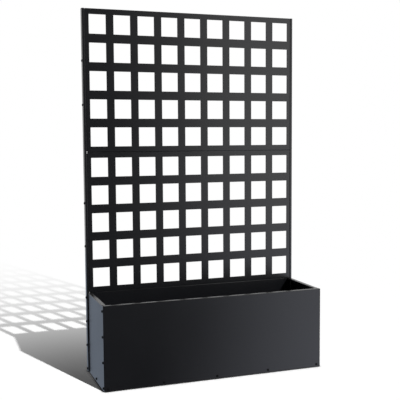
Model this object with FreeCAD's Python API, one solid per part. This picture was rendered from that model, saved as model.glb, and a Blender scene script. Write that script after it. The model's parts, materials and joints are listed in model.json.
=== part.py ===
"""Sheet-steel floor planter with a trellis back.

A long open box of folded sheet stands in front of two full-height posts of
rectangular tube.
Between the posts, over the back wall of the box, two pierced trellis panels are stacked.
Every panel is folded from one thickness of sheet and bolted through its flanges.

Frame: +X right, +Y to the back, +Z up, origin on the floor under the middle of the planter.
All sizes are millimetres.
"""
import FreeCAD, Part
import math
import os
from FreeCAD import Vector

os.makedirs("parts", exist_ok=True)

# ---------------------------------------------------------------- driving dimensions

# sheet and folds
sheet = 1.2                 # thickness of every folded panel
bend_radius = 1.0           # inside radius of every fold
corner_relief = 1.5         # notch left beside a fold where two flanges would meet

# posts
post_span = 900.0           # over the outer faces of the two posts
post_width = 10.0           # tube, seen from the front
post_depth = 25.0           # tube, front to back
post_wall = 1.2
post_corner = 2.0           # outside corner radius of the tube
cap_rim = 2.0               # plastic left outside the tube end
cap_plug = 5.5              # plastic pushed into the tube end
cap_clearance = 0.15        # between the plug and the tube

# box
side_set_back = 5.0         # side panels, in from the outer faces of the posts
box_depth = 265.0           # front face of the box to front face of the posts
box_height = 320.0
rim_lip = 16.0              # rim folded inwards
rim_return = 8.0            # and down again, so that no edge is sharp
rim_gap = 1.5               # between the rims of two walls at a corner
front_flange = 20.0         # front panel, folded back behind the side panels
side_flange = 30.0          # side panels, folded in along the back wall
base_flange = 22.0          # base tray, folded up inside the walls
base_gap = 1.5              # between a base flange and the flange of a wall
drain_diameter = 10.0
drain_pitch = 260.0
drain_rows = 2

# trellis
panel_height = 555.0        # each of the two trellis panels
panel_flange = 20.0         # folded back on all four sides
hole_width = 66.5
hole_height = 74.5
bar_width = 31.0            # upright bars between the holes
bar_height = 34.5           # level bars between the holes
least_margin = 14.0         # least sheet beside the outermost holes

# fasteners
screw_diameter = 5.0
screw_clearance = 0.25      # between the shank and its hole, all round
head_diameter = 10.0
head_crown = 6.0            # the head narrows to this
head_height = 3.3
nut_across_flats = 8.0
nut_height = 4.0
nut_clearance = 0.05        # between the shank and the thread of the nut
screw_tip = 1.0             # shank that shows past the nut
round_sides = 8             # flats of the small rounds that repeat: shanks, bores and drains

# where the screws sit
base_screw_height = 11.0    # all rows along the bottom edge
front_row_inset = 15.0      # last screw of the front row, from the side of the box
front_row_count = 5
back_row_inset = 12.0       # last screw of the back row, from the side panel's flange
back_row_count = 4
corner_inset = 11.0         # screws of a side panel, from the front of the box
corner_pitch = 96.0         # up the front corners, and up the back wall's flanges
corner_count = 4
side_joint_inset = 18.0     # screws that hold a side panel to the back wall
side_joint_first = 59.0
side_joint_pitch = 192.0
side_joint_count = 2
trellis_screw_drop = 200.0  # first post screw of a trellis panel, below its top edge
trellis_screw_pitch = 171.0
trellis_screw_count = 2
seam_screw_pitch = 300.0
seam_screw_count = 3

# ---------------------------------------------------------------- places worked out

bend = sheet + bend_radius                       # outside radius of a fold
overall_depth = head_height + box_depth + post_depth
front_y = head_height - overall_depth / 2        # outer face of the front panel
wall_y = front_y + box_depth                     # front face of posts, back wall and trellis
post_mid_y = wall_y + post_depth / 2
post_outer = post_span / 2
post_inner = post_outer - post_width
box_width = post_span - 2 * side_set_back
box_half = box_width / 2
front_half = box_half - sheet                    # the front panel stands between the sides
trellis_top = box_height + 2 * panel_height

SIDES = {"left": -1, "right": 1}


# ---------------------------------------------------------------- sheet-metal helpers

def block(x0, x1, y0, y1, z0, z1):
    """A flat piece of sheet between two corners."""
    return Part.makeBox(x1 - x0, y1 - y0, z1 - z0, Vector(x0, y0, z0))


def span(low, high, count):
    """Evenly spaced places from low to high."""
    return [low + (high - low) * i / (count - 1) for i in range(count)]


def steps(first, pitch, count):
    """Places one pitch apart."""
    return [first + pitch * i for i in range(count)]


def straight(edges, start, end):
    """Add a straight edge, unless a fold has used up its whole length."""
    if start.distanceToPoint(end) > 1e-6:
        edges.append(Part.LineSegment(start, end).toShape())


def folded(outline, inside, plane, start, end):
    """A folded strip: square bends along an outline, drawn out from start to end.

    The outline is the outer face of the sheet. Inside is +1 where the sheet lies
    to the left of the outline and -1 where it lies to the right.
    """
    corners = [Vector(a, b, 0) for a, b in outline]
    runs = [(q - p).normalize() for p, q in zip(corners, corners[1:])]
    through = [Vector(-run.y, run.x, 0) * (inside * sheet) for run in runs]
    outer, inner = [], []
    outer_at, inner_at = corners[0], corners[0] + through[0]
    for i in range(1, len(runs)):
        before, after = runs[i - 1], runs[i]
        folds_in = before.cross(after).z * inside > 0
        outer_radius = bend if folds_in else bend_radius
        inner_radius = bend_radius if folds_in else bend
        centre = corners[i] + (after - before) * outer_radius
        to_corner = (before - after).normalize()
        first = corners[i] - before * outer_radius
        last = corners[i] + after * outer_radius
        straight(outer, outer_at, first)
        outer.append(Part.Arc(first, centre + to_corner * outer_radius, last).toShape())
        straight(inner, inner_at, first + through[i - 1])
        inner.append(Part.Arc(first + through[i - 1], centre + to_corner * inner_radius,
                              last + through[i]).toShape())
        outer_at, inner_at = last, last + through[i]
    straight(outer, outer_at, corners[-1])
    straight(inner, inner_at, corners[-1] + through[-1])
    ends = []
    straight(ends, corners[0], corners[0] + through[0])
    straight(ends, corners[-1], corners[-1] + through[-1])
    wire = Part.Wire(Part.__sortEdges__(outer + inner + ends))
    return stood(Part.Face(wire), plane, start, end)


def stood(face, plane, start, end):
    """Turn a flat section into its plane and draw it out along the third axis."""
    length = end - start
    if plane == "xy":
        turned, away = FreeCAD.Matrix(), Vector(0, 0, length)
        turned.move(Vector(0, 0, start))
    elif plane == "yz":
        turned = FreeCAD.Matrix(0, 0, 1, start, 1, 0, 0, 0, 0, 1, 0, 0, 0, 0, 0, 1)
        away = Vector(length, 0, 0)
    else:
        turned = FreeCAD.Matrix(1, 0, 0, 0, 0, 0, -1, start, 0, 1, 0, 0, 0, 0, 0, 1)
        away = Vector(0, length, 0)
    return face.transformed(turned).extrude(away)


def mirrored(shape):
    """The same piece on the other side of the planter."""
    return shape.mirror(Vector(0, 0, 0), Vector(1, 0, 0))


def joined(pieces):
    """One sheet from its flat and its flanges."""
    return pieces[0].multiFuse(pieces[1:]).removeSplitter()


def drilled(shape, holes):
    """Cut one screw hole for each (point, axis) pair, right through both faces of a fold."""
    reach = post_width + 2 * sheet
    tool = Part.Face(bore(screw_diameter / 2 + screw_clearance)).extrude(Vector(0, 0, 2 * reach))
    tools = [turned_to(tool.copy(), point - axis * reach, axis) for point, axis in holes]
    return shape.cut(Part.makeCompound(tools))


def turned_to(shape, point, axis):
    """Bring a shape drawn along +Z to its place, pointing along the axis."""
    shape.Placement = FreeCAD.Placement(point, FreeCAD.Rotation(Vector(0, 0, 1), axis))
    return shape


def regular(sides, radius, z=0):
    """A closed outline of equal sides with its corners on a circle."""
    turn = 2 * math.pi / sides
    return Part.makePolygon([Vector(radius * math.cos(turn * i), radius * math.sin(turn * i), z)
                             for i in range(sides + 1)])


def bore(radius):
    """The outline of a small hole, its flats on the circle, so that the circle is clear."""
    return regular(round_sides, radius / math.cos(math.pi / round_sides))


def post_outline(z):
    """The outside of the right-hand post in plan, with its four round corners."""
    radius = post_corner
    x0, x1 = post_inner + radius, post_outer - radius
    y0, y1 = wall_y + radius, wall_y + post_depth - radius
    centres = [(x1, y1, 0), (x0, y1, 90), (x0, y0, 180), (x1, y0, 270)]
    edges, ends = [], []
    for x, y, angle in centres:
        arc = [Vector(x + radius * math.cos(math.radians(angle + turn)),
                      y + radius * math.sin(math.radians(angle + turn)), z)
               for turn in (0, 45, 90)]
        edges.append(Part.Arc(*arc).toShape())
        ends.append((arc[0], arc[2]))
    for i in range(4):
        edges.append(Part.LineSegment(ends[i][1], ends[(i + 1) % 4][0]).toShape())
    return Part.Wire(Part.__sortEdges__(edges))


# ---------------------------------------------------------------- screw places

def row(xs, y, axis, height=base_screw_height):
    """Screws side by side along a bottom edge."""
    return [(Vector(x, y, height), axis) for x in xs]


def column(x, y, heights, axis):
    """Screws above each other."""
    return [(Vector(x, y, z), axis) for z in heights]


to_back = Vector(0, 1, 0)
to_front = Vector(0, -1, 0)
down = Vector(0, 0, -1)

corner_heights = steps(base_screw_height, corner_pitch, corner_count)
joint_heights = steps(side_joint_first, side_joint_pitch, side_joint_count)
panel_bottoms = {"lower": box_height, "upper": box_height + panel_height}
trellis_heights = {
    name: steps(bottom + panel_height - trellis_screw_drop, -trellis_screw_pitch,
                trellis_screw_count)
    for name, bottom in panel_bottoms.items()}
seam_xs = steps(-seam_screw_pitch * (seam_screw_count - 1) / 2, seam_screw_pitch,
                seam_screw_count)
side_joint_x = box_half - side_joint_inset
base_back_half = box_half - side_flange - base_gap      # half length of the back base flange
front_row_xs = span(front_row_inset - box_half, box_half - front_row_inset, front_row_count)
back_row_xs = span(back_row_inset - base_back_half, base_back_half - back_row_inset,
                   back_row_count)
seam_y = wall_y + panel_flange / 2 + sheet

# each place is where the head seats, with the direction in which the screw points
front_row = row(front_row_xs, front_y, to_back)
back_row = row(back_row_xs, wall_y + sheet, to_front)
seam_places = {name: [(Vector(x, seam_y, bottom + sheet), down) for x in seam_xs]
               for name, bottom in panel_bottoms.items()}
base_mid_y = (front_y + wall_y) / 2
side_places = {}
for side, sign in SIDES.items():
    inward = Vector(-sign, 0, 0)
    side_places[side] = {
        "front_corner": column(sign * box_half, front_y + corner_inset, corner_heights, inward),
        "base": column(sign * box_half, base_mid_y, [base_screw_height], inward),
        "back_corner": column(sign * side_joint_x, wall_y + sheet, joint_heights, to_front),
        "post_wall": column(sign * post_outer, post_mid_y, corner_heights, inward),
        "post_trellis": column(sign * post_outer, post_mid_y,
                               trellis_heights["upper"] + trellis_heights["lower"], inward),
    }


def both_sides(name):
    """The screw places of one kind on the left and on the right."""
    return side_places["left"][name] + side_places["right"][name]


# ---------------------------------------------------------------- the box

def front_panel():
    """Long front sheet: rolled rim at the top, flanges behind the side panels."""
    rim = [(front_y, 0), (front_y, box_height), (front_y + rim_lip, box_height),
           (front_y + rim_lip, box_height - rim_return)]
    flat = folded(rim, -1, "yz", bend - front_half, front_half - bend)
    flange = folded([(front_half - bend, front_y), (front_half, front_y),
                     (front_half, front_y + front_flange)],
                    1, "xy", 0, box_height - bend - corner_relief)
    panel = joined([flat, flange, mirrored(flange)])
    return drilled(panel, front_row + both_sides("front_corner"))


def side_panel(side):
    """Short end sheet: rolled rim between the corners, flange folded in along the back wall."""
    rim_start = front_y + rim_lip + rim_gap
    rim_end = wall_y - bend - corner_relief
    under_rim = box_height - bend
    face = box_half - sheet
    flat = block(face, box_half, front_y, wall_y - bend, 0, under_rim)
    front_top = block(face, box_half, front_y, rim_start, under_rim, box_height)
    back_top = block(face, box_half, rim_end, wall_y - bend, under_rim, box_height)
    rim = folded([(box_half, under_rim), (box_half, box_height),
                  (box_half - rim_lip, box_height),
                  (box_half - rim_lip, box_height - rim_return)],
                 1, "xz", rim_start, rim_end)
    flange = folded([(box_half, wall_y - bend), (box_half, wall_y),
                     (box_half - side_flange, wall_y)], 1, "xy", 0, box_height)
    panel = joined([flat, front_top, back_top, rim, flange])
    if side == "left":
        panel = mirrored(panel)
    kinds = side_places[side]
    return drilled(panel, kinds["front_corner"] + kinds["base"] + kinds["back_corner"])


def back_wall():
    """Plain sheet between the posts, flanged back like the trellis panels above it."""
    section = [(wall_y, 0), (wall_y, box_height), (wall_y + panel_flange, box_height)]
    flat = folded(section, -1, "yz", bend - post_inner, post_inner - bend)
    flange = post_side_flange(0, box_height - bend - corner_relief)
    panel = joined([flat, flange, mirrored(flange)])
    holes = back_row + both_sides("back_corner") + both_sides("post_wall")
    return drilled(panel, holes + seam_places["lower"])


def base_tray():
    """Floor of the box: flanges folded up inside the four walls, drain holes in two rows."""
    inner_front = front_y + sheet
    inner_side = box_half - sheet
    front_end = inner_front + front_flange + base_gap
    back_end = wall_y - bend - base_gap
    flat = block(bend - inner_side, inner_side - bend, inner_front + bend, wall_y - bend,
                 0, sheet)
    front_reach = inner_side - bend - nut_height - base_gap
    front_edge = folded([(inner_front, base_flange), (inner_front, 0), (inner_front + bend, 0)],
                        1, "yz", -front_reach, front_reach)
    back_edge = folded([(wall_y - bend, 0), (wall_y, 0), (wall_y, base_flange)],
                       1, "yz", -base_back_half, base_back_half)
    side_edge = folded([(inner_side - bend, 0), (inner_side, 0), (inner_side, base_flange)],
                       1, "xz", front_end, back_end)
    tray = joined([flat, front_edge, back_edge, side_edge, mirrored(side_edge)])
    tray = tray.cut(Part.makeCompound(drains()))
    return drilled(tray, front_row + back_row + both_sides("base"))


def drains():
    """Cutters for the drain holes, evenly spread over the floor."""
    columns = max(2, int((box_width - drain_pitch) / drain_pitch) + 1)
    xs = steps(-drain_pitch * (columns - 1) / 2, drain_pitch, columns)
    ys = [front_y + box_depth * (i + 1) / (drain_rows + 1) for i in range(drain_rows)]
    drain = Part.Face(bore(drain_diameter / 2)).extrude(Vector(0, 0, 3 * sheet))
    return [turned_to(drain.copy(), Vector(x, y, -sheet), Vector(0, 0, 1))
            for x in xs for y in ys]


# ---------------------------------------------------------------- posts and trellis

def post_side_flange(z0, z1):
    """The flange of a panel between the posts, flat against the right-hand post."""
    return folded([(post_inner - bend, wall_y), (post_inner, wall_y),
                   (post_inner, wall_y + panel_flange)], 1, "xy", z0, z1)


def trellis_panel(name):
    """Sheet pierced with rows of upright holes and flanged back on all four sides."""
    z0 = panel_bottoms[name]
    z1 = z0 + panel_height
    back = wall_y + panel_flange
    section = [(back, z0), (wall_y, z0), (wall_y, z1), (back, z1)]
    flat = folded(section, -1, "yz", bend - post_inner, post_inner - bend)
    flange = post_side_flange(z0 + bend + corner_relief, z1 - bend - corner_relief)
    panel = joined([flat, flange, mirrored(flange)])
    panel = panel.cut(Part.makeCompound(lattice_holes(z0)))
    holes = both_sides("post_trellis") + seam_places[name]
    if name == "lower":
        holes = holes + seam_places["upper"]
    return drilled(panel, holes)


def lattice_holes(z0):
    """Cutters for the holes: as many as fit, centred between the posts and the seams."""
    across = hole_width + bar_width
    up = hole_height + bar_height
    clear_width = 2 * post_inner - 2 * least_margin
    columns = int((clear_width + bar_width) / across)
    rows = int((panel_height - 2 * least_margin + bar_height) / up)
    left = -(columns * across - bar_width) / 2
    bottom = z0 + (panel_height - rows * up + bar_height) / 2
    cutters = []
    for x in steps(left, across, columns):
        for z in steps(bottom, up, rows):
            cutters.append(block(x, x + hole_width, wall_y - sheet, wall_y + 2 * sheet,
                                 z, z + hole_height))
    return cutters


def post(side):
    """Full-height steel tube with round corners, drilled through for its screws."""
    z0, z1 = cap_rim, trellis_top - cap_rim
    bar = Part.Face(post_outline(z0)).extrude(Vector(0, 0, z1 - z0))
    tube = bar.cut(block(post_inner + post_wall, post_outer - post_wall,
                         wall_y + post_wall, wall_y + post_depth - post_wall, z0, z1))
    if side == "left":
        tube = mirrored(tube)
    kinds = side_places[side]
    return drilled(tube, kinds["post_wall"] + kinds["post_trellis"])


def post_cap(side, rim_z, plug_z):
    """Plastic cap: a rim on the tube's end and a short plug inside it."""
    inset = post_wall + cap_clearance
    rim = Part.Face(post_outline(rim_z)).extrude(Vector(0, 0, cap_rim))
    plug = block(post_inner + inset, post_outer - inset,
                 wall_y + inset, wall_y + post_depth - inset, plug_z, plug_z + cap_plug)
    cap = rim.fuse(plug)
    return mirrored(cap) if side == "left" else cap


# ---------------------------------------------------------------- fasteners

def screws(places, grip):
    """Pan-head screws: the flat of each head lies on the sheet at its place."""
    shank = Part.Face(regular(round_sides, screw_diameter / 2))
    shank = shank.extrude(Vector(0, 0, grip + nut_height + screw_tip))
    seat = regular(round_sides, head_diameter / 2)
    crown = regular(round_sides, head_crown / 2, -head_height)
    below = [vertex.Point for vertex in seat.OrderedVertexes]
    above = [vertex.Point for vertex in crown.OrderedVertexes]
    slopes = [Part.Face(Part.makePolygon([below[i - 1], below[i], above[i], above[i - 1],
                                          below[i - 1]]))
              for i in range(round_sides)]
    head = Part.Solid(Part.Shell(slopes + [Part.Face(seat), Part.Face(crown)]))
    screw = shank.fuse(head)
    return [turned_to(screw.copy(), point, axis) for point, axis in places]


def nuts(places, grip):
    """Hexagon nuts, tight against the far side of what the screws hold."""
    hexagon = Part.Face(regular(6, nut_across_flats / 2 / math.cos(math.pi / 6)))
    thread = Part.Face(bore(screw_diameter / 2 + nut_clearance))
    nut = hexagon.cut(thread).extrude(Vector(0, 0, nut_height))
    return [turned_to(nut.copy(), point + axis * grip, axis) for point, axis in places]


# ---------------------------------------------------------------- all the nodes

two_sheets = 2 * sheet
post_grip = post_width + sheet

nodes = {
    "front_panel": front_panel(),
    "back_wall": back_wall(),
    "base_tray": base_tray(),
    "lower_trellis_panel": trellis_panel("lower"),
    "upper_trellis_panel": trellis_panel("upper"),
}
fastener_groups = {
    "front_base": (front_row, two_sheets),
    "back_base": (back_row, two_sheets),
    "trellis_foot": (seam_places["lower"], two_sheets),
    "trellis_seam": (seam_places["upper"], two_sheets),
}
for side in SIDES:
    nodes[side + "_side_panel"] = side_panel(side)
    nodes[side + "_post"] = post(side)
    nodes[side + "_post_top_cap"] = post_cap(side, trellis_top - cap_rim,
                                            trellis_top - cap_rim - cap_plug)
    nodes[side + "_post_foot_cap"] = post_cap(side, 0, cap_rim)
    for kind, places in side_places[side].items():
        grip = post_grip if kind.startswith("post") else two_sheets
        fastener_groups[side + "_" + kind] = (places, grip)
for name, (places, grip) in fastener_groups.items():
    nodes[name + "_screws"] = Part.makeCompound(screws(places, grip))
    nodes[name + "_nuts"] = Part.makeCompound(nuts(places, grip))

whole = Part.makeCompound(list(nodes.values()))
for name, shape in sorted(nodes.items()):
    shape.exportStep("parts/%s.step" % name)
    print("%-28s %2d solid(s) %10.0f mm3" % (name, len(shape.Solids), shape.Volume))
box = whole.BoundBox
print("nodes %d, size %.1f x %.1f x %.1f" % (len(nodes), box.XLength, box.YLength, box.ZLength))
print("corners x %.2f..%.2f y %.2f..%.2f z %.2f..%.2f"
      % (box.XMin, box.XMax, box.YMin, box.YMax, box.ZMin, box.ZMax))
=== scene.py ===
# %% [markdown]
# A floor planter with a trellis back, dressed for a studio picture. The real object is a
# flat-pack stand: an open box of folded sheet steel, two thin posts of rectangular tube, and
# two pierced trellis panels stacked between them. All sheet is coated in satin black powder.
# The measured parts arrive as a fixed frame. They could be modelled again here, but then the
# picture and the drawing would drift apart, so every place below is read from that frame.

import json
import math

import bmesh
import bpy
from mathutils import Matrix, Vector


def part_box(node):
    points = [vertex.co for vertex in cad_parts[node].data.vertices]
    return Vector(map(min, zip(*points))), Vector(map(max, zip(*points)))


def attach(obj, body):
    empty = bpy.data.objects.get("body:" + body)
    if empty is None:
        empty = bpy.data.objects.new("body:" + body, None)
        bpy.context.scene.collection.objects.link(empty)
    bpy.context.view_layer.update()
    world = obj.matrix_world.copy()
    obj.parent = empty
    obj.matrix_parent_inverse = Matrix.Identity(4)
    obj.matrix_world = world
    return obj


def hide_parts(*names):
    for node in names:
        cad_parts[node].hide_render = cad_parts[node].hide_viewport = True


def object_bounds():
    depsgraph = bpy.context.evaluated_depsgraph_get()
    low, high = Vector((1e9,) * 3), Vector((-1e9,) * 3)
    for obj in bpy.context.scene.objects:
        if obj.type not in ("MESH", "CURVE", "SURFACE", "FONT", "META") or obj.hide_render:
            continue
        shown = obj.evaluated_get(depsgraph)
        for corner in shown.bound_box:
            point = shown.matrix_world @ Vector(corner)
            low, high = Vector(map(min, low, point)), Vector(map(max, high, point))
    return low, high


MM = 0.001                      # the frame is in metres, a sheet-metal shop thinks in millimetres

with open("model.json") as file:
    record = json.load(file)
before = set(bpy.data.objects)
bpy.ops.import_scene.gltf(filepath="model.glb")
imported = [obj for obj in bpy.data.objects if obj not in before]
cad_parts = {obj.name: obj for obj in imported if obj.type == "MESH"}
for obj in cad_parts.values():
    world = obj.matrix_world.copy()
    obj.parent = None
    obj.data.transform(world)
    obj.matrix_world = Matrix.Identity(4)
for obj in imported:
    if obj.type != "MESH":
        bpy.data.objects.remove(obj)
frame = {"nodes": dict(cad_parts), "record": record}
cad_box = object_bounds()
slot_of = {part["node"]: part["material_slot"] for part in frame["record"]["subparts"]}
scene = bpy.context.scene
print("parts in the frame:", len(frame["nodes"]))
print("size in metres:", [round(high - low, 4) for low, high in zip(*cad_box)])

# %% [markdown]
# The viewpoint. A product picture like this one is taken from a standing viewer's chest
# height, to the left of the middle, with a short telephoto lens. The camera could be aimed by
# eye, but the trellis holes are a ready-made grid: a camera fitted to their edges gives the
# place, the turn and the lens to a fraction of a pixel. Those fitted values are used here.

# %% Stand the camera where the picture was taken from
camera_place = Vector((-1.0335, -2.8348, 0.9267))
camera_looks = Vector((0.33693, 0.93807, -0.08060))
camera_roll = -0.00643          # radians, the picture leans very slightly
film_width = 36.0
lens_length = 68.636
picture_side = 400              # pixels, the picture is square

camera_data = bpy.data.cameras.new("viewpoint")
camera_data.sensor_width = film_width
camera_data.lens = lens_length
camera_data.clip_start = 0.05
camera_data.clip_end = 200.0
camera = bpy.data.objects.new("viewpoint", camera_data)
scene.collection.objects.link(camera)
camera.rotation_mode = "QUATERNION"
camera.location = camera_place
aim = camera_looks.to_track_quat("-Z", "Y")
camera.rotation_quaternion = aim @ Matrix.Rotation(camera_roll, 4, "Z").to_quaternion()
scene.camera = camera
bpy.context.view_layer.update()


def picture_place(point):
    """Where a point of the planter falls in the picture, in pixels from the top left."""
    seen = camera.matrix_world.inverted() @ Vector(point)
    reach = lens_length / film_width * picture_side / -seen.z
    return (round(picture_side / 2 + seen.x * reach, 1),
            round(picture_side / 2 - seen.y * reach, 1))


low, high = cad_box
trellis_low, trellis_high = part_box("upper_trellis_panel")
for name, corner in {"box, front left foot": (low.x, low.y, 0),
                     "box, front right foot": (high.x, low.y, 0),
                     "trellis, top left": (trellis_low.x, trellis_low.y, high.z),
                     "trellis, top right": (trellis_high.x, trellis_low.y, high.z)}.items():
    print("%-22s falls at pixel" % name, picture_place(corner))

# %% [markdown]
# Two effects return in several finishes, so each is a node group with named inputs. The first
# is grain: baked powder flows out into tiny even bumps, and moulded plastic and blackened
# steel have a fine tooth of their own. It could be a picture of a surface, but a noise
# pattern has no seams and works at every distance.

# %% A group for fine grain


def add_node(tree, kind, **settings):
    """Put a node in a tree and set its properties."""
    node = tree.nodes.new(kind)
    for name, value in settings.items():
        setattr(node, name, value)
    return node


def new_group(title, inputs, outputs):
    """An empty shader group with named number inputs and outputs, and its two end nodes."""
    group = bpy.data.node_groups.new(title, "ShaderNodeTree")
    for name, value in inputs.items():
        socket = group.interface.new_socket(name, in_out="INPUT", socket_type="NodeSocketFloat")
        socket.default_value = value
    for name in outputs:
        group.interface.new_socket(name, in_out="OUTPUT", socket_type="NodeSocketFloat")
    return group, add_node(group, "NodeGroupInput"), add_node(group, "NodeGroupOutput")


def fine_grain_group():
    """Even small bumps on slow waves, each as a height from 0 to 1."""
    group, given, result = new_group("fine grain", {"Bumps per metre": 700.0,
                                                    "Waves per metre": 5.0,
                                                    "Wave share": 0.3}, ["Height", "Cloud"])
    place = add_node(group, "ShaderNodeTexCoord")
    bumps = add_node(group, "ShaderNodeTexNoise")
    bumps.inputs["Detail"].default_value = 2.0
    waves = add_node(group, "ShaderNodeTexNoise")
    waves.inputs["Detail"].default_value = 1.0
    blend = add_node(group, "ShaderNodeMix", data_type="FLOAT")
    links = group.links
    for noise, scale in ((bumps, "Bumps per metre"), (waves, "Waves per metre")):
        links.new(place.outputs["Object"], noise.inputs["Vector"])
        links.new(given.outputs[scale], noise.inputs["Scale"])
    links.new(given.outputs["Wave share"], blend.inputs["Factor"])
    links.new(bumps.outputs["Fac"], blend.inputs["A"])
    links.new(waves.outputs["Fac"], blend.inputs["B"])
    links.new(blend.outputs["Result"], result.inputs["Height"])
    links.new(waves.outputs["Fac"], result.inputs["Cloud"])
    return group


def result_names(group):
    """What a group hands on."""
    return [socket.name for socket in group.interface.items_tree if socket.in_out == "OUTPUT"]


fine_grain = fine_grain_group()
print("grain group gives:", result_names(fine_grain))

# %% [markdown]
# The second effect is dust. On a planter it settles on what faces up: the rims, the floor of
# the box and the tops of the screws. It could be painted by hand on each part. The direction of
# the surface already says where dust can lie, so a mask of that, broken up by noise, is enough.

# %% A group for settled dust
dust_from, dust_full = 0.6, 1.0     # upward part of the surface direction


def settled_dust_group():
    """How much dust lies here: only on what faces up, and patchy."""
    group, given, result = new_group("settled dust", {"Amount": 0.2, "Patches per metre": 30.0},
                                     ["Dust"])
    surface = add_node(group, "ShaderNodeNewGeometry")
    parts = add_node(group, "ShaderNodeSeparateXYZ")
    level = add_node(group, "ShaderNodeMapRange", interpolation_type="SMOOTHSTEP")
    level.inputs["From Min"].default_value = dust_from
    level.inputs["From Max"].default_value = dust_full
    place = add_node(group, "ShaderNodeTexCoord")
    patches = add_node(group, "ShaderNodeTexNoise")
    patches.inputs["Detail"].default_value = 4.0
    cover = add_node(group, "ShaderNodeMath", operation="MULTIPLY")
    amount = add_node(group, "ShaderNodeMath", operation="MULTIPLY", use_clamp=True)
    links = group.links
    links.new(surface.outputs["Normal"], parts.inputs["Vector"])
    links.new(parts.outputs["Z"], level.inputs["Value"])
    links.new(place.outputs["Object"], patches.inputs["Vector"])
    links.new(given.outputs["Patches per metre"], patches.inputs["Scale"])
    links.new(level.outputs["Result"], cover.inputs[0])
    links.new(patches.outputs["Fac"], cover.inputs[1])
    links.new(cover.outputs["Value"], amount.inputs[0])
    links.new(given.outputs["Amount"], amount.inputs[1])
    links.new(amount.outputs["Value"], result.inputs["Dust"])
    return group


settled_dust = settled_dust_group()
print("dust group gives:", result_names(settled_dust))

# %% [markdown]
# The finishes. All three are black, and differ in how they take the light. Powder coat on the
# sheet is satin: soft broad reflections, a hint of blue. The screws are blackened steel and
# duller, so they show as dark dots on the sheet. The post caps are moulded plastic. One helper
# wires a finish the same way each time, because only the numbers differ, and the numbers tell
# the finishes apart.

# %% Wire a finish
dust_colour = (0.30, 0.29, 0.27, 1.0)
bump_strength = 0.5


def mixed_colour(tree, factor, first, second):
    """A colour between two, driven by a mask."""
    mix = add_node(tree, "ShaderNodeMix", data_type="RGBA")
    tree.links.new(factor, mix.inputs["Factor"])
    for socket, colour in (("A", first), ("B", second)):
        target = [s for s in mix.inputs if s.name == socket and s.type == "RGBA"][0]
        if isinstance(colour, tuple):
            target.default_value = colour
        else:
            tree.links.new(colour, target)
    return [s for s in mix.outputs if s.type == "RGBA"][0]


def finish(title, dark, light, smoothest, roughest, bumps_per_metre, bump_height,
           wave_share, dust, specular):
    """A finish with its own grain, cloudiness and dust."""
    material = bpy.data.materials.new(title)
    material.use_nodes = True
    tree = material.node_tree
    surface = tree.nodes["Principled BSDF"]
    surface.inputs["Specular IOR Level"].default_value = specular
    grain = add_node(tree, "ShaderNodeGroup", node_tree=fine_grain)
    grain.inputs["Bumps per metre"].default_value = bumps_per_metre
    grain.inputs["Wave share"].default_value = wave_share
    lying = add_node(tree, "ShaderNodeGroup", node_tree=settled_dust)
    lying.inputs["Amount"].default_value = dust
    clean = mixed_colour(tree, grain.outputs["Cloud"], dark, light)
    dusty = mixed_colour(tree, lying.outputs["Dust"], clean, dust_colour)
    tree.links.new(dusty, surface.inputs["Base Color"])
    shine = add_node(tree, "ShaderNodeMapRange")
    shine.inputs["To Min"].default_value = smoothest
    shine.inputs["To Max"].default_value = roughest
    tree.links.new(grain.outputs["Cloud"], shine.inputs["Value"])
    tree.links.new(shine.outputs["Result"], surface.inputs["Roughness"])
    bump = add_node(tree, "ShaderNodeBump")
    bump.inputs["Strength"].default_value = bump_strength
    bump.inputs["Distance"].default_value = bump_height
    tree.links.new(grain.outputs["Height"], bump.inputs["Height"])
    tree.links.new(bump.outputs["Normal"], surface.inputs["Normal"])
    return material


finishes = {
    "powder_coat": finish("satin black powder coat", dark=(0.0042, 0.0044, 0.0052, 1.0),
                          light=(0.0058, 0.0060, 0.0070, 1.0), smoothest=0.27, roughest=0.33,
                          bumps_per_metre=700.0, bump_height=0.02 * MM, wave_share=0.5,
                          dust=0.06, specular=0.36),
    "black_screws": finish("blackened steel", dark=(0.0030, 0.0030, 0.0034, 1.0),
                           light=(0.0050, 0.0050, 0.0054, 1.0), smoothest=0.40, roughest=0.50,
                           bumps_per_metre=2500.0, bump_height=0.01 * MM, wave_share=0.1,
                           dust=0.03, specular=0.10),
    "cap_plastic": finish("black moulded plastic", dark=(0.010, 0.010, 0.011, 1.0),
                          light=(0.015, 0.015, 0.016, 1.0), smoothest=0.50, roughest=0.62,
                          bumps_per_metre=1500.0, bump_height=0.03 * MM, wave_share=0.2,
                          dust=0.12, specular=0.40),
}
print("finishes:", ", ".join(m.name for m in finishes.values()))

# %% [markdown]
# The sheet parts, the posts and the caps are shown as they were measured. Every real edge is
# slightly round, because powder pulls back from a sharp corner, and that thin round is what
# catches the light. It could be modelled, but a bevel modifier does it and leaves the measured
# points alone. Coincident points are joined first, so that the bevel finds the edges.

# %% Finish the sheet parts
edge_round = 0.25 * MM
sharp_edge = math.radians(35)
joined_within = 0.002 * MM      # points closer than this are one point


def round_edges(part, width):
    """A small round on every sharp edge of a measured part."""
    join = part.modifiers.new("join points", "WELD")
    join.merge_threshold = joined_within
    ease = part.modifiers.new("round edges", "BEVEL")
    ease.width = width
    ease.segments = 2
    ease.limit_method = "ANGLE"
    ease.angle_limit = sharp_edge
    ease.harden_normals = False


for node, part in frame["nodes"].items():
    part.data.materials.clear()
    part.data.materials.append(finishes[slot_of[node]])
    if not node.endswith(("_screws", "_nuts")):
        round_edges(part, edge_round)
print("rounded parts:", sum(1 for part in frame["nodes"].values() if part.modifiers))

# %% [markdown]
# The screws. The planter is held by rows of small pan-head machine screws with a hexagon
# socket, and by hexagon nuts behind the sheet. The frame has them as plain eight-sided blanks.
# They could be bought as a library part, but turning a profile round an axis gives the domed
# head, the socket and the thread from a few numbers, so a lathe helper comes first.

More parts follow.
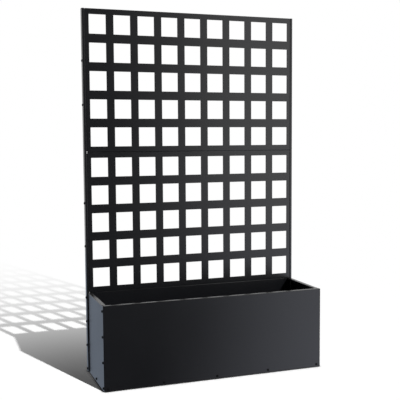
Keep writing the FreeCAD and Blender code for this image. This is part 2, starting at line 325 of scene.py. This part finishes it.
# %% A lathe for round parts
round_steps = 24


def lathe(rings, close_start=True, close_end=True):
    """A mesh from rings of radius and height. A radius may be a rule of the angle."""
    shape = bmesh.new()
    loops = []
    for radius, height in rings:
        loop = []
        for i in range(round_steps):
            angle = 2 * math.pi * i / round_steps
            reach = radius(angle) if callable(radius) else radius
            loop.append(shape.verts.new((reach * math.cos(angle), reach * math.sin(angle),
                                         height)))
        loops.append(loop)
    for lower, upper in zip(loops, loops[1:]):
        for i in range(round_steps):
            j = (i + 1) % round_steps
            shape.faces.new((lower[i], lower[j], upper[j], upper[i]))
    if close_start:
        shape.faces.new(loops[0][::-1])
    if close_end:
        shape.faces.new(loops[-1])
    bmesh.ops.recalc_face_normals(shape, faces=shape.faces)
    return shape


def hexagon(across_flats):
    """The radius of a hexagon at each angle, with a corner at angle 0."""
    def radius(angle):
        from_flat = (angle % math.radians(60)) - math.radians(30)
        return across_flats / 2 / math.cos(from_flat)
    return radius


print("a 10 mm hexagon reaches", round(hexagon(10)(0), 2), "mm to its corner")

# %% [markdown]
# Where each fastener sits is read from its blank. Every node is a row of loose pieces, and the
# two equal sizes of a screw's box are the width of its head, so the odd one is its axis. The
# head is the wide end. Places could be typed in, but then a change in the drawing would leave
# the screws behind.

# %% Read the places of the blanks
head_share = 0.45               # points further out than this share of the width are on the seat


def loose_pieces(node):
    """The points of each separate piece of a node."""
    shape = bmesh.new()
    shape.from_mesh(frame["nodes"][node].data)
    bmesh.ops.remove_doubles(shape, verts=shape.verts, dist=joined_within)
    waiting = dict.fromkeys(shape.verts)    # a dict keeps their order, so each run is the same
    pieces = []
    while waiting:
        reached = [waiting.popitem()[0]]
        points = []
        while reached:
            vertex = reached.pop()
            points.append(vertex.co.copy())
            for edge in vertex.link_edges:
                other = edge.other_vert(vertex)
                if other in waiting:
                    del waiting[other]
                    reached.append(other)
        pieces.append(points)
    shape.free()
    return pieces


def extent(points):
    """The lowest and highest corner of some points."""
    return (Vector([min(p[i] for p in points) for i in range(3)]),
            Vector([max(p[i] for p in points) for i in range(3)]))


def screw_place(points):
    """Seat of the head, direction of the shank and the shank's length."""
    start, end = extent(points)
    size = end - start
    axis = min(range(3), key=lambda i: abs(size[(i + 1) % 3] - size[(i + 2) % 3]))
    middle = (start + end) / 2
    wide = [p for p in points if math.dist([p[i] for i in range(3) if i != axis],
                                           [middle[i] for i in range(3) if i != axis])
            > head_share * size[(axis + 1) % 3]]
    seat_at = sum(p[axis] for p in wide) / len(wide)
    forward = 1.0 if seat_at < middle[axis] else -1.0
    direction = Vector([forward if i == axis else 0.0 for i in range(3)])
    seat = middle.copy()
    seat[axis] = seat_at
    tip = end[axis] if forward > 0 else start[axis]
    return seat, direction, abs(tip - seat_at)


def nut_place(points):
    """Foot of a nut, its axis and the direction of one of its corners."""
    start, end = extent(points)
    size = end - start
    axis = min(range(3), key=lambda i: size[i])
    corner = max(range(3), key=lambda i: size[i])
    foot = (start + end) / 2
    foot[axis] = start[axis]
    return (foot, Vector([1.0 if i == axis else 0.0 for i in range(3)]),
            Vector([1.0 if i == corner else 0.0 for i in range(3)]))


screw_nodes = sorted(node for node in frame["nodes"] if node.endswith("_screws"))
nut_nodes = sorted(node for node in frame["nodes"] if node.endswith("_nuts"))
for node in screw_nodes[:2]:
    seat, direction, length = screw_place(loose_pieces(node)[0])
    print(node, "points along", tuple(direction), "and is %.1f mm long" % (length / MM))

# %% [markdown]
# Each screw is turned to the length of its blank. The head is a low dome with a straight edge,
# the socket is a hexagon sunk into it, and the thread is a row of ridges at the end, where the
# nut sits. A true spiral thread could be wound, but at this size ridges look the same.

# %% Turn a screw
head_width = 10.0 * MM
head_height = 3.3 * MM
head_edge = 0.7 * MM
socket_width = 3.2 * MM
socket_depth = 1.8 * MM
socket_lip = 0.25 * MM          # height of the countersink round the socket
socket_mouth = 1.22             # its width, as a share of the socket's
shank_width = 4.9 * MM
thread_pitch = 0.8 * MM
thread_depth = 0.35 * MM
threaded_length = 5.6 * MM
dome_steps = 5


def turned_screw(length):
    """A pan-head screw with its seat at zero and its shank along +Z."""
    rise = head_height - head_edge
    mouth = socket_width / 2 * socket_mouth
    rings = [(hexagon(socket_width), socket_depth - head_height),
             (hexagon(socket_width), -head_height + socket_lip),
             (mouth, -head_height)]
    for step in range(1, dome_steps + 1):
        turn = math.radians(90) * step / dome_steps
        rings.append((mouth + (head_width / 2 - mouth) * math.sin(turn),
                      -head_edge - rise * math.cos(turn)))
    rings += [(head_width / 2, 0.0), (shank_width / 2, 0.0)]
    height = length - threaded_length
    while height < length - thread_pitch:
        rings.append((shank_width / 2, height))
        rings.append((shank_width / 2 - thread_depth, height + thread_pitch / 2))
        height += thread_pitch
    rings += [(shank_width / 2, length - thread_depth), (shank_width / 2 - thread_depth, length)]
    return lathe(rings)


sample = turned_screw(16 * MM)
print("one screw has", len(sample.faces), "faces")
sample.free()

# %% [markdown]
# The nuts are cut from hexagon bar: bored, and chamfered so that the corners don't bite. They
# could be plain hexagons, since most are hidden behind the sheet, but some of them show
# inside the empty box. The same lathe makes them, with a hexagon for the radius.

# %% Cut a nut
nut_width = 8.0 * MM
nut_height = 4.0 * MM
nut_bore = 5.1 * MM
nut_chamfer = 0.35 * MM
nut_ease = 1.04                 # the chamfer cuts the corners back to this share of the width


def cut_nut():
    """A hexagon nut with eased corners, its foot at zero and its axis along +Z."""
    flats = hexagon(nut_width)

    def eased(angle):
        return min(flats(angle), nut_width / 2 * nut_ease)

    bore = nut_bore / 2
    rings = [(bore, 0.0), (eased, 0.0), (flats, nut_chamfer),
             (flats, nut_height - nut_chamfer), (eased, nut_height),
             (bore + nut_chamfer, nut_height), (bore, nut_height - nut_chamfer), (bore, 0.0)]
    shape = lathe(rings, close_start=False, close_end=False)
    bmesh.ops.remove_doubles(shape, verts=shape.verts, dist=joined_within)
    bmesh.ops.recalc_face_normals(shape, faces=shape.faces)
    return shape


sample = cut_nut()
print("one nut has", len(sample.faces), "faces")
sample.free()

# %% [markdown]
# Each row of fasteners becomes one piece that stands for its node. The pieces could be
# separate objects, but a row that is one object is picked and painted in one go, as a fitter
# would order it.

# %% Put the fasteners in place
smooth_below = math.radians(40)


def placed(foot, direction, corner=None):
    """The move that brings a part drawn along +Z to its place."""
    turn = direction.to_track_quat("Z", "Y").to_matrix().to_4x4()
    if corner is not None:
        side = direction.cross(corner)
        turn = Matrix((corner, side, direction)).transposed().to_4x4()
    return Matrix.Translation(foot) @ turn


def row_piece(node, shapes):
    """One object from the shapes of a row, in the place of its node."""
    whole = bmesh.new()
    for shape, place in shapes:
        bmesh.ops.transform(shape, matrix=place, verts=shape.verts)
        loose = bpy.data.meshes.new("loose")
        shape.to_mesh(loose)
        shape.free()
        whole.from_mesh(loose)
        bpy.data.meshes.remove(loose)
    mesh = bpy.data.meshes.new(node + "_made")
    whole.to_mesh(mesh)
    whole.free()
    mesh.polygons.foreach_set("use_smooth", [True] * len(mesh.polygons))
    mesh.set_sharp_from_angle(angle=smooth_below)
    mesh.materials.append(finishes["black_screws"])
    piece = bpy.data.objects.new(node + "_made", mesh)
    scene.collection.objects.link(piece)
    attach(piece, "root")
    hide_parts(node)
    return piece


made = 0
for node in screw_nodes:
    row = [screw_place(points) for points in loose_pieces(node)]
    row_piece(node, [(turned_screw(length), placed(seat, direction))
                     for seat, direction, length in row])
    made += len(row)
for node in nut_nodes:
    row = [nut_place(points) for points in loose_pieces(node)]
    row_piece(node, [(cut_nut(), placed(foot, axis, corner)) for foot, axis, corner in row])
    made += len(row)
print("fasteners made:", made)

# %% [markdown]
# The floor. The picture has a white floor that runs into a white background, with a grey
# shadow of the trellis lying on it. The floor could be lit until it burns out, but that would
# grey the black coat too. Instead its paint is whiter than white where the camera or a
# reflection looks at it, and plain off-white for the light that it throws on the planter. The
# shadow is darkest at the foot nearest the viewer. Away from that foot a painted glow, seen only
# by the camera and in reflections, lightens it, so the floor goes over to plain white with the
# distance from that foot. A crevice mask paints a contact shadow: it darkens the thin line
# where the planter stands.

# %% Lay the floor
floor_reach = 60.0
floor_paint = 0.80
floor_seen = 1.90
# painted glow: it lightens the floor's shadow more and more with the distance from this foot
shadow_fade_start = Vector((cad_box[0].x, cad_box[0].y, 0.0))      # the foot nearest the viewer
shadow_fade_length = 1.45
shadow_fade_curve = 1.75
# painted contact shadow: within this reach of the planter the floor is painted darker, down to
# near black
contact_reach = 16 * MM
contact_dark, contact_light = 0.55, 0.90
contact_shadow_black = (0.01, 0.01, 0.01, 1.0)


def grey(level):
    """A colour without a hue."""
    return (level, level, level, 1.0)


def looked_at(tree):
    """A mask that is 1 where the camera, a reflection or a clear sheet looks."""
    path = add_node(tree, "ShaderNodeLightPath")
    mask = path.outputs["Is Camera Ray"]
    for way in ("Is Glossy Ray", "Is Transmission Ray"):
        either = add_node(tree, "ShaderNodeMath", operation="MAXIMUM")
        tree.links.new(mask, either.inputs[0])
        tree.links.new(path.outputs[way], either.inputs[1])
        mask = either.outputs["Value"]
    return mask


def floor_finish():
    """White floor that keeps shadows near the planter, with a painted contact shadow at the foot
    and a painted glow that fades the shadow to white away from it.
    """
    material = bpy.data.materials.new("studio floor")
    material.use_nodes = True
    tree = material.node_tree
    tree.nodes.clear()
    links = tree.links
    seen = looked_at(tree)
    paint = mixed_colour(tree, seen, grey(floor_paint), grey(floor_seen))
    # painted contact shadow: the floor turns dark where the planter stands on it
    contact_shadow_mask = add_node(tree, "ShaderNodeAmbientOcclusion", samples=8)
    contact_shadow_mask.inputs["Distance"].default_value = contact_reach
    open_floor = add_node(tree, "ShaderNodeMapRange")
    open_floor.inputs["From Min"].default_value = contact_dark
    open_floor.inputs["From Max"].default_value = contact_light
    links.new(contact_shadow_mask.outputs["AO"], open_floor.inputs["Value"])
    shaded = mixed_colour(tree, open_floor.outputs["Result"], contact_shadow_black, paint)
    matt = add_node(tree, "ShaderNodeBsdfDiffuse")
    links.new(shaded, matt.inputs["Color"])
    place = add_node(tree, "ShaderNodeTexCoord")
    away = add_node(tree, "ShaderNodeVectorMath", operation="DISTANCE")
    links.new(place.outputs["Object"], away.inputs[0])
    away.inputs[1].default_value = shadow_fade_start
    fade = away.outputs["Value"]        # becomes 1 - exp(-(distance / length) ** curve)
    for operation, number, first in (("DIVIDE", shadow_fade_length, 0), ("POWER", shadow_fade_curve, 0),
                                     ("MULTIPLY", -1.0, 0), ("EXPONENT", None, 0),
                                     ("SUBTRACT", 1.0, 1)):
        step = add_node(tree, "ShaderNodeMath", operation=operation)
        links.new(fade, step.inputs[first])
        if number is not None:
            step.inputs[1 - first].default_value = number
        fade = step.outputs["Value"]
    # painted glow, seen only by the camera and in reflections, that lightens the shadow with
    # distance
    only_seen = add_node(tree, "ShaderNodeMath", operation="MULTIPLY")
    links.new(fade, only_seen.inputs[0])
    links.new(seen, only_seen.inputs[1])
    glow = add_node(tree, "ShaderNodeEmission")
    blend = add_node(tree, "ShaderNodeMixShader")
    links.new(only_seen.outputs["Value"], blend.inputs["Fac"])
    links.new(matt.outputs["BSDF"], blend.inputs[1])
    links.new(glow.outputs["Emission"], blend.inputs[2])
    out = add_node(tree, "ShaderNodeOutputMaterial")
    links.new(blend.outputs["Shader"], out.inputs["Surface"])
    return material


def flat_card(title, corners, material):
    """A four-cornered sheet of the studio, not part of the object."""
    shape = bmesh.new()
    shape.faces.new([shape.verts.new(corner) for corner in corners])
    mesh = bpy.data.meshes.new(title)
    shape.to_mesh(mesh)
    shape.free()
    mesh.materials.append(material)
    card = bpy.data.objects.new(title, mesh)
    scene.collection.objects.link(card)
    return card


def level_corners(left, right, near, far, height):
    """Corners of a level rectangle."""
    return [(left, near, height), (right, near, height), (right, far, height),
            (left, far, height)]


flat_card("studio_floor", level_corners(-floor_reach, floor_reach, -floor_reach, floor_reach, 0),
          floor_finish())
print("floor is", 2 * floor_reach, "m wide")

# %% [markdown]
# The room. Satin black shows whatever stands in front of it. In the picture the left of the
# planter is nearly black and its right is grey, so the room in front of it must run from dark
# to bright. A photographer can get this with black cloth and a lamp, but their edges show in
# flat sheet. Graded paper, dark at one end and bright at the other, has no edge: one sheet
# hangs in front and one lies on the floor. A pale blue sheet on the left tints the end of the
# box. All three are seen only in reflections, so that the floor stays white.

# %% Hang the graded sheets
sheet_distance = 3.6            # from the middle of the planter, towards the viewer
sheet_left, sheet_right = -4.0, 4.0
sheet_foot, sheet_top = 0.02, 5.0
sheet_near = cad_box[0].y - 1 * MM
above_floor = 1 * MM
blue_left, blue_far = -2.2, 3.2
end_panel_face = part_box("left_side_panel")[0].x
across = (1.0, 0.0, 0.0)
slanted = (1.0, 0.46, 0.0)      # the floor sheet is seen fanning out from the viewer's feet
paper_white = (1.0, 1.0, 1.0)
paper_cool = (0.85, 0.88, 1.0)
paper_blue = (0.47, 0.55, 0.68)
fibres_per_metre = 40.0
fibre_shade = 0.96


def paper_finish(title, colour, way, dark_at, bright_at, darkest, brightest):
    """Paper that runs from dark to bright along one direction, with a faint fibre."""
    material = bpy.data.materials.new(title)
    material.use_nodes = True
    tree = material.node_tree
    tree.nodes.clear()
    place = add_node(tree, "ShaderNodeTexCoord")
    along = add_node(tree, "ShaderNodeVectorMath", operation="DOT_PRODUCT")
    tree.links.new(place.outputs["Object"], along.inputs[0])
    along.inputs[1].default_value = way
    shade = add_node(tree, "ShaderNodeMapRange", interpolation_type="SMOOTHSTEP")
    shade.inputs["From Min"].default_value = dark_at
    shade.inputs["From Max"].default_value = bright_at
    shade.inputs["To Min"].default_value = darkest
    shade.inputs["To Max"].default_value = brightest
    tree.links.new(along.outputs["Value"], shade.inputs["Value"])
    fibre = add_node(tree, "ShaderNodeTexNoise")
    fibre.inputs["Scale"].default_value = fibres_per_metre
    plain = (*colour, 1.0)
    darker = (*[fibre_shade * value for value in colour], 1.0)
    glow = add_node(tree, "ShaderNodeEmission")
    tree.links.new(mixed_colour(tree, fibre.outputs["Fac"], plain, darker), glow.inputs["Color"])
    tree.links.new(shade.outputs["Result"], glow.inputs["Strength"])
    out = add_node(tree, "ShaderNodeOutputMaterial")
    tree.links.new(glow.outputs["Emission"], out.inputs["Surface"])
    return material


sheets = [
    flat_card("hung_sheet", [(sheet_left, -sheet_distance, sheet_foot),
                             (sheet_right, -sheet_distance, sheet_foot),
                             (sheet_right, -sheet_distance, sheet_top),
                             (sheet_left, -sheet_distance, sheet_top)],
              paper_finish("graded white paper", paper_white, across, dark_at=0.80,
                           bright_at=1.95, darkest=0.03, brightest=2.45)),
    flat_card("laid_sheet", level_corners(sheet_left, sheet_right, sheet_near, -sheet_distance,
                                          above_floor),
              paper_finish("graded cool paper", paper_cool, slanted, dark_at=-0.42,
                           bright_at=0.55, darkest=0.09, brightest=2.20)),
    flat_card("blue_sheet", level_corners(blue_left, end_panel_face, sheet_near, blue_far,
                                          above_floor),
              paper_finish("pale blue paper", paper_blue, across, dark_at=blue_left,
                           bright_at=end_panel_face, darkest=1.0, brightest=1.0)),
]
for sheet in sheets:
    sheet.visible_camera = False
    sheet.visible_shadow = False
    sheet.visible_diffuse = False
print("sheets:", ", ".join(sheet.name for sheet in sheets))

# %% [markdown]
# The walls of the room. In a studio they stand far off and dimly lit, and look white only
# beside something black. They could be built, but an even background does the same: white
# where it is looked at or mirrored, and a low level for the light that it gives.

# %% Light the room
room_seen = 1.0
room_light = 0.04


def light_room():
    """White where it is looked at, a plain soft level where it lights."""
    world = bpy.data.worlds.new("white room")
    world.use_nodes = True
    tree = world.node_tree
    tree.nodes.clear()
    links = tree.links
    level = add_node(tree, "ShaderNodeMapRange")
    level.inputs["To Min"].default_value = room_light
    level.inputs["To Max"].default_value = room_seen
    links.new(looked_at(tree), level.inputs["Value"])
    sky = add_node(tree, "ShaderNodeBackground")
    links.new(level.outputs["Result"], sky.inputs["Strength"])
    sky.inputs["Color"].default_value = grey(1.0)
    out = add_node(tree, "ShaderNodeOutputWorld")
    links.new(sky.outputs["Background"], out.inputs["Surface"])
    return world


scene.world = light_room()
print("room light level:", room_light)

# %% [markdown]
# The lamp. The lattice shadow on the floor falls back and to the left, so one lamp stands low
# in front and to the right, small enough to draw the holes. It could also make the sheen on the
# panels, but that would be one hard spot. It is left out of the reflections, and the graded
# sheets make the sheen.

# %% Set the lamp
shadow_left, shadow_back = 0.70, 2.10     # how far the shadow runs for each unit of height
lamp_strength = 3.8
lamp_blur = math.radians(0.9)
lamp_height = 2.0               # metres; only the direction of this lamp counts

lamp_data = bpy.data.lights.new("low_lamp", "SUN")
lamp_data.energy = lamp_strength
lamp_data.angle = lamp_blur
lamp = bpy.data.objects.new("low_lamp", lamp_data)
lamp.location = Vector((shadow_left, -shadow_back, 1.0)) * lamp_height
lamp.rotation_mode = "QUATERNION"
lamp.rotation_quaternion = (-lamp.location).to_track_quat("-Z", "Y")
lamp.visible_glossy = False
scene.collection.objects.link(lamp)
print("the low lamp stands %.0f degrees above the floor"
      % math.degrees(math.atan(1 / math.hypot(shadow_left, shadow_back))))

# %% [markdown]
# Last, the picture's tones are set to plain.

# %% Set the tones
scene.view_settings.view_transform = "Standard"
